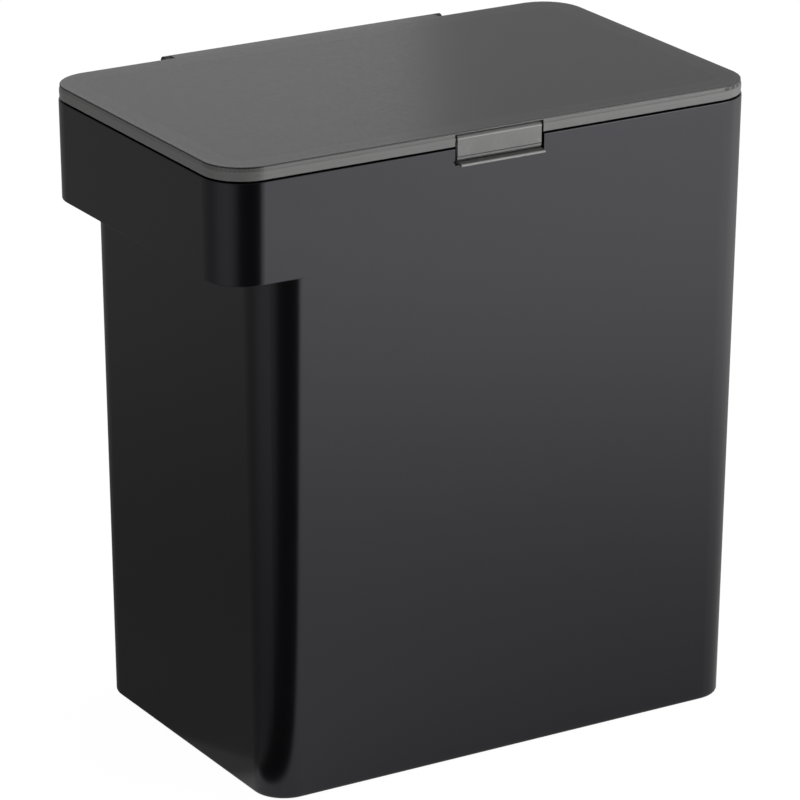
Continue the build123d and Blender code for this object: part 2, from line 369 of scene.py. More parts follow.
def inset(outline, distance):
    """The outline moved inwards: each point goes along its two sides' mean normal, mitred."""
    ahead = np.roll(outline, -1, axis=0) - outline
    ahead /= np.linalg.norm(ahead, axis=1, keepdims=True)
    behind = np.roll(ahead, 1, axis=0)
    normal = np.stack((-ahead[:, 1] - behind[:, 1], ahead[:, 0] + behind[:, 0]), axis=1)
    normal /= np.linalg.norm(normal, axis=1, keepdims=True)
    mitre = np.abs(normal[:, 0] * -ahead[:, 1] + normal[:, 1] * ahead[:, 0])
    area = (outline[:, 0] * np.roll(outline[:, 1], -1) - outline[:, 1] * np.roll(outline[:, 0], -1)).sum()
    return outline + normal * (math.copysign(distance, area) / np.maximum(mitre, 0.5))[:, None]


def around(y, z, radius, angle):
    """Points of an arc in the Y-Z plane: centre + radius * (cosine, sine)."""
    return np.stack((y + radius * np.cos(angle), z + radius * np.sin(angle)), axis=1)


def circle(y, z, radius):
    """Round outline in the Y-Z plane, of 48 points."""
    return around(y, z, radius, np.linspace(0, 4 * QUARTER, 48, endpoint=False))


def block(y_range, z_range):
    """Rectangle in the Y-Z plane."""
    (y0, y1), (z0, z1) = y_range, z_range
    return np.array([(y0, z0), (y1, z0), (y1, z1), (y0, z1)])


# Meshes

def mesh_object(name, points, faces):
    """Puts points and faces into a mesh, merges what coincides and turns the faces outwards."""
    mesh = bpy.data.meshes.new(name)
    mesh.from_pydata(points.tolist(), [], faces)
    work = bmesh.new()
    work.from_mesh(mesh)
    bmesh.ops.remove_doubles(work, verts=work.verts, dist=2e-6)
    bmesh.ops.dissolve_degenerate(work, dist=1e-6, edges=work.edges)
    bmesh.ops.recalc_face_normals(work, faces=work.faces)
    work.to_mesh(mesh)
    work.free()
    piece = bpy.data.objects.new(name, mesh)
    bpy.context.scene.collection.objects.link(piece)
    return piece


def grid_faces(rows, columns, close_rows=False):
    """Four-sided faces between neighbouring rows and columns, where the columns form a loop."""
    row = np.arange(rows if close_rows else rows - 1)[:, None]
    column = np.arange(columns)[None, :]
    following = (row + 1) % rows
    beside = (column + 1) % columns
    corners = [row * columns + column, row * columns + beside,
               following * columns + beside, following * columns + column]
    return np.stack(np.broadcast_arrays(*corners), axis=-1).reshape(-1, 4).tolist()


def lofted(name, rings, closed=False):
    """A skin over level loops. A closed one joins its last loop to the first, and an open one is
    capped by one flat face at each end."""
    stack = np.stack(rings)
    rows, columns = stack.shape[:2]
    faces = grid_faces(rows, columns, closed)
    if not closed:
        last = (rows - 1) * columns
        faces += [list(range(columns)), list(range(last, last + columns))]
    return mesh_object(name, stack.reshape(-1, 3), faces)


def bar(name, outline, x_start, x_end, edge=0.0, steps=3):
    """A Y-Z outline carried along X. With an edge radius its ends are rounded: near each end the
    outline is moved inwards by edge * (1 - cosine) while X follows edge * (1 - sine)."""
    sine, cosine = arc(steps) if edge else (np.array([0.0]), np.array([1.0]))
    xs = np.concatenate((x_start + edge * (1 - sine), x_end - edge * (1 - sine[::-1])))
    insets = edge * (1 - cosine)
    insets = np.concatenate((insets[::-1], insets)) if edge else np.zeros(2)
    rings = []
    for x, by in zip(xs, insets):
        flat = inset(outline, by) if by else outline
        rings.append(np.column_stack((np.full(len(flat), x), flat)))
    return lofted(name, rings)


def combine(piece, tools, operation):
    """Cuts tools out of a piece or joins them to it, and removes the tools."""
    for tool in tools:
        change = piece.modifiers.new("shape", "BOOLEAN")
        change.operation = operation
        change.solver = "EXACT"
        change.object = tool
    seen = piece.evaluated_get(bpy.context.evaluated_depsgraph_get())
    old, piece.data = piece.data, bpy.data.meshes.new_from_object(seen)
    piece.modifiers.clear()
    bpy.data.meshes.remove(old)
    for tool in tools:
        bpy.data.objects.remove(tool)
    if not piece.data.polygons:
        raise RuntimeError(f"{piece.name} lost its faces")
    return piece


def dress(piece, material, body, node):
    """Smooths a piece's curves, keeps its flats flat, hides the CAD node that it stands for, and ties it to
    its body.
    """
    for face in piece.data.polygons:
        face.use_smooth = True
    piece.data.set_sharp_from_angle(angle=SHARP)
    weighted = piece.modifiers.new("flats stay flat", "WEIGHTED_NORMAL")
    weighted.keep_sharp = True
    weighted.weight = 90
    piece.data.materials.clear()
    piece.data.materials.append(material)
    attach(piece, body)
    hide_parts(node)


# Materials

def plug(tree, node, inputs):
    """Links or sets a node's inputs, given by socket."""
    for socket, value in inputs.items():
        if isinstance(value, bpy.types.NodeSocket):
            tree.links.new(value, node.inputs[socket])
        else:
            node.inputs[socket].default_value = value


def add_node(tree, kind, inputs=(), output=0, **settings):
    """Adds a node by its kind and settings, plugs its inputs, and gives one of its outputs.

    The inputs are a dictionary by socket, or a tuple in the order of the sockets.
    """
    node = tree.nodes.new("ShaderNode" + kind)
    for name, value in settings.items():
        setattr(node, name, value)
    plug(tree, node, inputs if isinstance(inputs, dict) else dict(enumerate(inputs)))
    return node.outputs[output]


def new_material(name):
    """A node material with its shader and the Object coordinates that its patterns read."""
    material = bpy.data.materials.new(name)
    material.use_nodes = True
    tree = material.node_tree
    return material, tree, tree.nodes["Principled BSDF"], add_node(tree, "TexCoord", (), "Object")


def black_abs(finishes):
    """Black ABS, injection moulded against a finely spark-eroded steel.

    The even pits, some 0.3 mm across, soften what the wall mirrors, and the lowest edge is scuffed
    paler by the floor. The gloss has a faint violet cast, which is the specular tint. The pits are
    drawn 0.9 mm across, because the real ones are finer than a pixel.
    """
    material, tree, shader, place = new_material("Black ABS, spark-eroded mould")
    pits = add_node(tree, "TexNoise", {"Vector": place, "Scale": 1 / (0.9 * MM), "Detail": 2.0})
    flow = add_node(tree, "TexNoise", {"Vector": place, "Scale": 1 / (70 * MM), "Detail": 1.5})
    rubbed = add_node(tree, "TexNoise", {"Vector": place, "Scale": 1 / (14 * MM), "Detail": 4.0})
    height = add_node(tree, "SeparateXYZ", (place,), "Z")
    low_edge = add_node(tree, "MapRange", (height, 4 * MM, 0.5 * MM, 0.0, 1.0), **SOFT)
    scuff = add_node(tree, "Math", (low_edge, rubbed), operation="MULTIPLY")
    cloud = add_node(tree, "MapRange", (flow, *NOISE_RANGE, 0.0, 0.35), **SOFT)
    tint = add_node(tree, "Mix", {0: cloud, 6: finishes.tub_black[:], 7: linear("#0b0b0e")}, 2, **COLOURS)
    tint = add_node(tree, "Mix", {0: scuff, 6: tint, 7: linear("#202022")}, 2, **COLOURS)
    rough = add_node(tree, "MapRange", (pits, *NOISE_RANGE, 0.18, 0.21), **SOFT)
    wear = add_node(tree, "MapRange", (rubbed, 0.4, 0.8, 0.0, 0.03), **SOFT)
    plug(tree, shader, {
        "Base Color": tint,
        "Roughness": add_node(tree, "Math", (rough, wear), operation="ADD"),
        "Normal": add_node(tree, "Bump", {"Height": pits, "Strength": 0.04, "Distance": 0.05 * MM}),
        "IOR": 1.54,
        "Specular Tint": linear("#f7f5ff"),
    })
    return material


def smoked_san(finishes, lid):
    """Smoked SAN, a clear styrene resin, moulded against polished steel.

    The plate mirrors the studio softly and the dark tub shows through it. Light that travels inside
    the plate and leaves at its edge is painted into the colour: the edge bands and a border round the
    face are painted paler grey and let less light through, a painted glow. The distance from the loop of
    corner centres, which is the lid's corner radius at its outline, tells the edge from the face.
    """
    material, tree, shader, place = new_material("Smoked SAN, polished mould")
    centres = (lid.length / 2 - lid.corner, lid.depth / 2 - lid.corner, LID_HIGH.z)
    beyond = add_node(tree, "VectorMath", (place,), operation="ABSOLUTE")
    beyond = add_node(tree, "VectorMath", (beyond, centres), operation="SUBTRACT")
    beyond = add_node(tree, "VectorMath", (beyond, (0.0, 0.0, 0.0)), operation="MAXIMUM")
    reach = add_node(tree, "VectorMath", (beyond,), "Value", operation="LENGTH")
    height = add_node(tree, "SeparateXYZ", (place,), "Z")
    edge, top = lid.corner, LID_HIGH.z
    shoulder, line = top - lid.band, top - lid.line_drop
    # Painted glow on the face: a faint paler border some 10 mm wide, and a stronger one that rises over the
    # last 5.5 mm to the outline
    painted_border_glow = add_node(tree, "MapRange", (reach, edge - 12.5 * MM, edge - 10 * MM, 0.0, 0.1), **SOFT)
    painted_edge_glow = add_node(tree, "MapRange", (reach, edge - 5.5 * MM, edge - 0.8 * MM, 0.0, 0.26), **SOFT)
    face = add_node(tree, "Math", (painted_border_glow, painted_edge_glow), operation="MAXIMUM")
    # Painted glow on the edge's faces below the top's round, with more painted on the middle band between
    # the line and the upper band
    outer = add_node(tree, "MapRange", (reach, edge - 0.42 * MM, edge - 0.28 * MM, 0.0, 1.0))
    under_top = add_node(tree, "MapRange", (height, top - 0.75 * MM, top - 0.6 * MM, 1.0, 0.0))
    side = add_node(tree, "Math", (outer, under_top), operation="MULTIPLY")
    under_band = add_node(tree, "MapRange", (height, shoulder - 0.4 * MM, shoulder, 0.2, 0.0))
    over_line = add_node(tree, "MapRange", (height, line - 0.2 * MM, line, 0.0, 1.0))
    middle = add_node(tree, "Math", (under_band, over_line), operation="MULTIPLY")
    side = add_node(tree, "Math", (side, middle), operation="ADD")
    painted_glow = add_node(tree, "Math", (face, side), operation="MAXIMUM")
    # The painted glow is kept off the plug wall and the underside
    upper = add_node(tree, "MapRange", (height, top - 14 * MM, top - 6 * MM, 0.0, 1.0), **SOFT)
    painted_glow = add_node(tree, "Math", (painted_glow, upper), operation="MULTIPLY")
    cloud = add_node(tree, "TexNoise", {"Vector": place, "Scale": 1 / (45 * MM), "Detail": 2.0})
    cloud = add_node(tree, "MapRange", (cloud, 0.35, 0.65, 0.0, 1.0), **SOFT)
    flow = add_node(tree, "TexNoise", {"Vector": place, "Scale": 1 / (1.6 * MM), "Detail": 2.0})
    tint = add_node(tree, "Mix", {0: cloud, 6: finishes.lid_smoke[:], 7: linear("#171815")}, 2, **COLOURS)
    # The painted glow mixes the smoke towards the paler edge grey and lets less light through
    plug(tree, shader, {
        "Base Color": add_node(tree, "Mix", {0: painted_glow, 6: tint, 7: finishes.lid_glow_paint[:]}, 2, **COLOURS),
        "Transmission Weight": add_node(tree, "MapRange", (painted_glow, 0.0, 0.6, 0.62, 0.15)),
        "Roughness": add_node(tree, "MapRange", (flow, *NOISE_RANGE, 0.19, 0.25), **SOFT),
        "Normal": add_node(tree, "Bump", {"Height": flow, "Strength": 0.02, "Distance": 0.03 * MM}),
        "IOR": 1.5,
    })
    return material


def smoked_flap(finishes, latch, bottom):
    """The same smoked SAN where it is thin.

    Light and shade are painted into its colour: its face is painted pale grey as a painted glow, the lip's
    tip and a line on the knuckle carry painted highlights, and the crease, the groove over the lip, the lip
    and the knuckle's top carry painted shade.
    """
    material, tree, shader, place = new_material("Smoked SAN, thin flap")
    y, z = (add_node(tree, "SeparateXYZ", (place,), axis) for axis in "YZ")
    blur = 0.08 * MM

    def band(axis, low, high, share=1.0):
        """A share between two places along an axis and 0 outside, with a soft step at each end."""
        rise = add_node(tree, "MapRange", (axis, low - blur, low + blur, 0.0, 1.0), **SOFT)
        fall = add_node(tree, "MapRange", (axis, high - blur, high + blur, share, 0.0), **SOFT)
        return add_node(tree, "Math", (rise, fall), operation="MULTIPLY")

    face = latch.axis_y - latch.knuckle
    tip = face - latch.lip_reach
    groove = bottom + latch.groove_rise
    crease = bottom + latch.crease_rise
    shoulder = latch.axis_z
    lip = (band(y, tip, face + 0.1 * MM), band(z, 0.0, groove))
    flow = add_node(tree, "TexNoise", {"Vector": place, "Scale": 1 / (9 * MM), "Detail": 2.0})
    cloud = add_node(tree, "MapRange", (flow, *NOISE_RANGE, 0.0, 1.0), **SOFT)
    # Painted glow: the whole flap is painted pale grey, varied at random between two greys
    tint = add_node(tree, "Mix", {0: cloud, 6: linear("#868685"), 7: finishes.lid_glow_paint[:]}, 2, **COLOURS)
    # Painted shade in the crease, the groove and on the lip, a painted highlight on the lip's tip, and on
    # the knuckle a broad painted shade and a narrow painted highlight
    painted_light_layers = (
        ("#2c2c2c", band(z, crease - 0.42 * MM, crease + 0.05 * MM)),
        ("#060606", band(z, groove - 0.2 * MM, groove + latch.groove_height + 0.15 * MM)),
        ("#646463", add_node(tree, "Math", lip, operation="MULTIPLY")),
        ("#b4b4b2", band(y, tip - 1.0 * MM, tip + 0.75 * MM)),
        ("#5c5c5b", band(z, shoulder + 0.5 * MM, shoulder + 4 * MM, 0.6)),
        ("#c4c4c2", band(z, shoulder + 0.05 * MM, shoulder + 0.4 * MM, 0.6)),
    )
    for hex_colour, amount in painted_light_layers:
        tint = add_node(tree, "Mix", {0: amount, 6: tint, 7: linear(hex_colour)}, 2, **COLOURS)
    rough = add_node(tree, "MapRange", (flow, *NOISE_RANGE, 0.2, 0.28), **SOFT)
    plug(tree, shader, {"Base Color": tint, "Roughness": rough, "IOR": 1.5})
    return material


def silicone(finishes):
    """Silicone rubber, moulded: grey and matt, with fine dust in its skin, 0.8 mm across."""
    material, tree, shader, place = new_material("Silicone rubber, moulded")
    dust = add_node(tree, "TexNoise", {"Vector": place, "Scale": 1 / (0.8 * MM), "Detail": 4.0})
    grey = add_node(tree, "MapRange", (dust, 0.35, 0.7, 0.0, 0.5), **SOFT)
    plug(tree, shader, {
        "Base Color": add_node(
            tree, "Mix", {0: grey, 6: finishes.seal_grey[:], 7: linear("#4a4a4c")}, 2, **COLOURS
        ),
        "Roughness": add_node(tree, "MapRange", (dust, *NOISE_RANGE, 0.5, 0.65), **SOFT),
        "Normal": add_node(tree, "Bump", {"Height": dust, "Strength": 0.2, "Distance": 0.04 * MM}),
        "IOR": 1.43,
    })
    return material


def drawn_steel(finishes):
    """Stainless steel rod, cold drawn: fine lines run along the rod and stretch its highlights.

    The lines are drawn 0.15 mm apart and fifty times as long, by shrinking X before the noise.
    """
    material, tree, shader, place = new_material("Stainless steel, cold drawn")
    along = add_node(tree, "Mapping", {"Vector": place, "Scale": (0.02, 1.0, 1.0)})
    lines = add_node(tree, "TexNoise", {"Vector": along, "Scale": 1 / (0.15 * MM), "Detail": 2.0})
    shade = add_node(tree, "MapRange", (lines, *NOISE_RANGE, 0.0, 0.4), **SOFT)
    plug(tree, shader, {
        "Base Color": add_node(
            tree, "Mix", {0: shade, 6: finishes.rod_steel[:], 7: linear("#8f8d8a")}, 2, **COLOURS
        ),
        "Roughness": add_node(tree, "MapRange", (lines, *NOISE_RANGE, 0.25, 0.4), **SOFT),
        "Normal": add_node(tree, "Bump", {"Height": lines, "Strength": 0.2, "Distance": 0.02 * MM}),
        "Metallic": 1.0,
    })
    return material


# Operators

def lid_loops(context, profile):
    """Level loops round the lid, from pairs of a distance in from its outline and a height."""
    lid = context.scene.bin_lid
    half = (lid.length / 2 - lid.corner, lid.depth / 2 - lid.corner)
    rim, _ = skeletons(*half, context.scene.bin_tub.step_reach)
    return [ring(rim, lid.corner - inward, level) for inward, level in profile]


class BIN_OT_tub(Operator):
    """Builds the tub with its hand hold, latch recess, catch and hinge ears"""

    bl_idname = "storage_bin.tub"
    bl_label = "Tub"

    def execute(self, context):
        tub, hinge = context.scene.bin_tub, context.scene.bin_hinge
        shell = lofted("tub_shell", self.loops(tub))
        combine(shell, [self.recess(tub)], "DIFFERENCE")
        combine(shell, [self.ear(tub, hinge, sign) for sign in (-1, 1)], "UNION")
        combine(shell, [bar("bore", circle(hinge.axis_y, hinge.axis_z, hinge.rod), *BORE)], "DIFFERENCE")
        dress(shell, black_abs(context.scene.bin_finishes), "bin", "bin_body")
        return {"FINISHED"}

    def loops(self, tub):
        """Level loops from the base up the outside, over the rim and down inside to the floor.

        A loop's reach is corner - (rim height - level) * tangent of the draft, less the distance that
        it lies in from the outer face.
        """
        rim, short = skeletons(tub.length / 2 - tub.corner, tub.depth / 2 - tub.corner, tub.step_reach)
        top = tub.rim_height
        under = top - tub.step_drop
        lip = top - tub.rim_round
        mouth = top - tub.mouth_chamfer
        ledge = under + tub.ledge
        fillet = tub.floor_fillet

        def side(columns, level, inward=0.0):
            """The loop at a height and a distance in from the outer face."""
            return ring(columns, tub.corner - (top - level) * math.tan(tub.draft) - inward, level)

        loops = [side(short, tub.base_round * (1 - c), tub.base_round * (1 - s)) for s, c in zip(*arc(7))]
        loops += [side(short, level) for level in np.linspace(tub.base_round, under, 24)[1:]]
        # The hand hold's lower edge is rounded only where it stands clear of the tub
        overhang = np.linalg.norm(side(rim, under) - side(short, under), axis=1)
        edge = np.clip(overhang / (4 * tub.step_round), 0, 1) * tub.step_round
        loops += [side(rim, under + tub.step_round * (1 - c), edge * (1 - s)) for s, c in zip(*arc(5))]
        loops += [side(rim, level) for level in np.linspace(under + tub.step_round, lip, 8)[1:-1]]
        loops += [side(rim, lip + tub.rim_round * s, tub.rim_round * (1 - c)) for s, c in zip(*arc(4))]
        loops.append(side(rim, top, tub.wall - tub.mouth_chamfer))
        loops += [side(rim, level, tub.wall) for level in np.linspace(mouth, ledge, 6)]
        loops += [
            side(short, level, tub.wall) for level in np.linspace(ledge, tub.floor + fillet, 16)[:-1]
        ]
        loops += [
            side(short, tub.floor + fillet * (1 - s), tub.wall + fillet * (1 - c))
            for s, c in zip(*arc(8))
        ]
        return loops

    def recess(self, tub):
        """The block that the latch recess is cut with, less the catch, which so stays standing."""
        front = -tub.depth / 2
        back = front + tub.recess_depth
        top = tub.rim_height
        half = tub.recess_width / 2
        outline = block((front - MARGIN, back), (top - tub.recess_drop, top + MARGIN))
        root = back + 0.4 * MM
        tip = back - tub.catch_proud
        low = top - CATCH_DROP
        tip_round = 0.1 * MM
        catch = rounded(
            [(root, low), (tip, low), (tip, low + 0.3 * MM), (root, low + 1.95 * MM)],
            (0, tip_round, tip_round, 0),
        )
        half_catch = tub.catch_width / 2
        tools = [bar("catch", catch, -half_catch, half_catch)]
        return combine(bar("recess", outline, -half, half), tools, "DIFFERENCE")

    def ear(self, tub, hinge, sign):
        """An ear's outline: a web on the back wall, a slanted lower side that touches the barrel's
        circle, and that circle round to its top."""
        web_top = tub.rim_height - tub.rim_round
        web_low = web_top - tub.ear_drop
        web_back = hinge.axis_y - hinge.barrel
        wall_side = (tub.depth - tub.wall) / 2
        foot = np.array((web_back + hinge.barrel / 4, web_low))
        away = foot - (hinge.axis_y, hinge.axis_z)
        touch = math.atan2(away[1], away[0]) + math.acos(hinge.barrel / np.hypot(*away))
        barrel = around(hinge.axis_y, hinge.axis_z, hinge.barrel, np.linspace(touch, math.pi, 33))
        outline = np.vstack(
            ([(wall_side, web_low)], [foot], barrel, [(web_back, web_top)], [(wall_side, web_top)])
        )
        inner = hinge.tongue / 2 + hinge.ear_gap
        start, end = sorted((sign * inner, sign * (inner + hinge.ear_width)))
        return bar("ear", outline, start, end, SMALL_EDGE)


class BIN_OT_lid(Operator):
    """Builds the smoked lid with its plug wall, latch notch and hinge tongue"""

    bl_idname = "storage_bin.lid"
    bl_label = "Lid"

    def execute(self, context):
        lid, hinge = context.scene.bin_lid, context.scene.bin_hinge
        shell = lofted("lid_shell", lid_loops(context, self.profile(lid)))
        combine(shell, [self.cheeks(lid), self.tongue(lid, hinge)], "UNION")

        front, top = -lid.depth / 2, LID_HIGH.z
        low = top - lid.edge_height - MARGIN
        half = lid.notch_width / 2
        notch = block((front - MARGIN, front + lid.notch_depth), (low, top - lid.notch_cover))
        bore = circle(hinge.axis_y, hinge.axis_z, hinge.rod + hinge.clearance)
        pocket = block(
            (lid.depth / 2, hinge.axis_y + hinge.barrel + MARGIN), (low, top - hinge.pocket_roof)
        )
        pitch = (hinge.tongue - hinge.knuckle_width) / (hinge.knuckles - 1)
        knuckles = (pitch * np.arange(hinge.knuckles) - hinge.tongue / 2).tolist()
        cuts = [bar("notch", notch, -half, half), bar("bore", bore, *BORE)]
        cuts += [bar("pocket", pocket, x + hinge.knuckle_width, x + pitch) for x in knuckles[:-1]]
        combine(shell, cuts, "DIFFERENCE")

        start = (hinge.knuckle_width - hinge.lug_width) / 2
        lugs = [
            bar("lug", self.lug(hinge), x + start, x + start + hinge.lug_width, SMALL_EDGE)
            for x in (knuckles[0], knuckles[-1])
        ]
        combine(shell, lugs, "UNION")
        dress(shell, smoked_san(context.scene.bin_finishes, lid), "lid", "lid")
        return {"FINISHED"}

    def profile(self, lid):
        """Distances in from the outline and heights, from the top down the edge, up inside it, and
        round the plug wall to the plate's underside."""
        top = LID_HIGH.z
        bottom = top - lid.edge_height
        plate = top - lid.plate
        plug_end = plate - lid.plug_height
        seat_low = plug_end + lid.seat_rise
        seat_high = seat_low + lid.seat_height
        shoulder = top - lid.band
        line = top - lid.line_drop
        plug_back = lid.plug_inset + lid.plug_wall
        small = 0.15 * MM
        tenth = 0.1 * MM  # the bevels below are whole tenths of a millimetre
        return [
            *((lid.setback + lid.edge_round * (1 - s), top - lid.edge_round * (1 - c))
              for s, c in zip(*arc(5))),
            (lid.setback, shoulder + small),
            (lid.setback, shoulder),
            (0.0, shoulder - lid.setback),
            (0.0, line + small),
            (0.0, line),
            (lid.line_depth, line - lid.line_depth),
            (lid.line_depth, bottom + 3 * tenth),
            (lid.line_depth + tenth, bottom + tenth),
            (lid.line_depth + 3 * tenth, bottom),
            (lid.skirt - 2 * tenth, bottom),
            (lid.skirt, bottom + 2 * tenth),
            (lid.skirt, plate),
            (lid.plug_inset, plate),
            (lid.plug_inset, seat_high),
            (lid.plug_inset + lid.seat_depth, seat_high),
            (lid.plug_inset + lid.seat_depth, seat_low),
            (lid.plug_inset, seat_low),
            (lid.plug_inset, plug_end + 4 * tenth),
            (lid.plug_inset + 4 * tenth, plug_end),
            (plug_back - 3 * tenth, plug_end),
            (plug_back, plug_end + 3 * tenth),
            (plug_back, plate - 6 * tenth),
            (plug_back + 2 * tenth, plate - 2 * tenth),
            (plug_back + 6 * tenth, plate),
        ]

    def cheeks(self, lid):
        """One block under the plate, which the notch parts into the two that hold the latch rod."""
        front = -lid.depth / 2
        under = LID_HIGH.z - lid.plate
        outline = block(
            (front + lid.skirt / 2, front + lid.plug_inset + lid.plug_wall / 2),
            (under - lid.cheek_height, under + 0.4 * MM),
        )
        half = lid.notch_width / 2 + lid.cheek_width
        return bar("cheeks", outline, -half, half)

    def tongue(self, lid, hinge):
        """The web over the back edge, then the barrel's circle from its top round to the underside."""
        top = LID_HIGH.z
        web_low = top - lid.plate - lid.edge_round
        inside = (lid.depth - lid.skirt) / 2
        lowest = math.asin((web_low - hinge.axis_z) / hinge.barrel)
        angle = np.linspace(QUARTER, -math.pi - lowest, 40)
        outline = np.vstack((
            [(inside, web_low), (inside, top - lid.edge_round)],
            [(lid.depth / 2 - lid.setback - lid.edge_round, top)],
            around(hinge.axis_y, hinge.axis_z, hinge.barrel, angle),
        ))
        return bar("tongue", outline, -hinge.tongue / 2, hinge.tongue / 2, SMALL_EDGE)

    def lug(self, hinge):
        """A stop lug: a level strip from inside the barrel outwards, with its end's corners rounded."""
        start = hinge.axis_y + (hinge.barrel + hinge.rod) / 2
        end = hinge.axis_y + hinge.lug_reach
        low, high = (hinge.axis_z + sign * hinge.lug_thickness / 2 for sign in (-1, 1))
        corner = 0.3 * MM
        return rounded([(start, low), (end, low), (end, high), (start, high)], (0, corner, corner, 0))


class BIN_OT_seal(Operator):
    """Builds the silicone seal with its two wiping fins"""

    bl_idname = "storage_bin.seal"
    bl_label = "Seal"

    def execute(self, context):
        lid = context.scene.bin_lid
        low = LID_HIGH.z - lid.plate - lid.plug_height + lid.seat_rise
        back = lid.plug_inset + lid.seat_depth
        strip = lid.plug_inset - 1.0 * MM
        fin_tip = 3.28 * MM
        fin_height = 1.27 * MM
        # A fin's tip, as distances in from it and heights over the fin's flat underside
        tip = MM * np.array([(0.1, 0.0), (0.0, 0.08), (0.0, 0.2), (0.08, 0.32)])
        profile = [(back, low), (strip, low)]
        for fin in (low + 0.5 * MM, low + 2.9 * MM):
            profile += [(strip, fin), *((fin_tip, fin) + tip).tolist(), (strip, fin + fin_height)]
        profile += [(strip, low + lid.seat_height), (back, low + lid.seat_height)]
        seal = lofted("lid_seal", lid_loops(context, profile), closed=True)
        dress(seal, silicone(context.scene.bin_finishes), "lid", "lid_gasket")
        return {"FINISHED"}


class BIN_OT_flap(Operator):
    """Builds the latch flap with its finger lip, its hook and the pocket for the catch"""

    bl_idname = "storage_bin.flap"
    bl_label = "Latch flap"

    def execute(self, context):
        latch, tub = context.scene.bin_latch, context.scene.bin_tub
        bottom = tub.rim_height - tub.recess_drop + 0.4 * MM
        recess_floor = -tub.depth / 2 + tub.recess_depth
        hook_top = tub.rim_height - HOOK_DROP
        half = latch.width / 2
        outline = self.outline(latch, bottom, recess_floor - 0.25 * MM, hook_top)
        flap = bar("latch_flap", outline, -half, half, latch.edge_round, steps=4)
        # The pocket leaves free space round the catch, and a sliver under it cuts the hook's top cleanly
        pocket = block(
            (recess_floor - tub.catch_proud - 0.3 * MM, latch.axis_y),
            (hook_top - 0.01 * MM, tub.rim_height - 0.6 * MM),
        )
        half_pocket = tub.catch_width / 2 + 0.6 * MM
        combine(flap, [bar("pocket", pocket, -half_pocket, half_pocket)], "DIFFERENCE")
        material = smoked_flap(context.scene.bin_finishes, latch, bottom)
        dress(flap, material, "latch", "front_latch")
        return {"FINISHED"}

    def outline(self, latch, bottom, hook_back, hook_top):
        """Down the face with its crease and groove, round the lip and the hook, and round the knuckle."""
        face = latch.axis_y - latch.knuckle
        back = face + latch.thickness
        crease = bottom + latch.crease_rise
        groove = bottom + latch.groove_rise
        groove_top = groove + latch.groove_height
        tip = face - latch.lip_reach
        lip_top = groove - latch.lip_drop
        edge, fine, lip = latch.edge_round, 0.05 * MM, 0.5 * MM
        meet = math.sqrt(latch.knuckle ** 2 - (back - latch.axis_y) ** 2)
        corners = (
            (back, latch.axis_z - meet, 0),
            (face, latch.axis_z, 0),
            (face, crease, fine),
            (face + latch.crease_depth, crease - latch.crease_depth, fine),
            (face + latch.crease_depth, groove_top, edge),
            (face + latch.groove_depth, groove_top, 0),
            (face + latch.groove_depth, groove, 0),
            (tip, lip_top, lip),
            (tip, lip_top - latch.lip_thickness, lip),
            (face - lip, bottom, edge),
            (hook_back, bottom, edge),
            (hook_back, hook_top, edge),
            (back, hook_top, 0),
        )
        plate = rounded([corner[:2] for corner in corners], [corner[2] for corner in corners], steps=6)
        first = np.argmin(np.linalg.norm(plate - (face, latch.axis_z), axis=1))
        angle = np.linspace(math.atan2(-meet, back - latch.axis_y), math.pi, 36)[1:-1]
        knuckle = around(latch.axis_y, latch.axis_z, latch.knuckle, angle)
        return np.vstack((np.roll(plate, -first, axis=0), knuckle))


class BIN_OT_rods(Operator):
    """Builds the hinge rod and the latch rod"""

    bl_idname = "storage_bin.rods"
    bl_label = "Rods"

    def execute(self, context):
        hinge, latch = context.scene.bin_hinge, context.scene.bin_latch
        steel = drawn_steel(context.scene.bin_finishes)
        rods = (
            ("hinge_rod", hinge, ROD_HIGH.x, "bin", "hinge_pin"),
            ("latch_rod", latch, PIN_HIGH.x, "lid", "latch_pin"),
        )
        for name, sizes, reach, body, node in rods:
            outline = circle(sizes.axis_y, sizes.axis_z, sizes.rod)
            dress(bar(name, outline, -reach, reach, hinge.end_chamfer), steel, body, node)
        return {"FINISHED"}


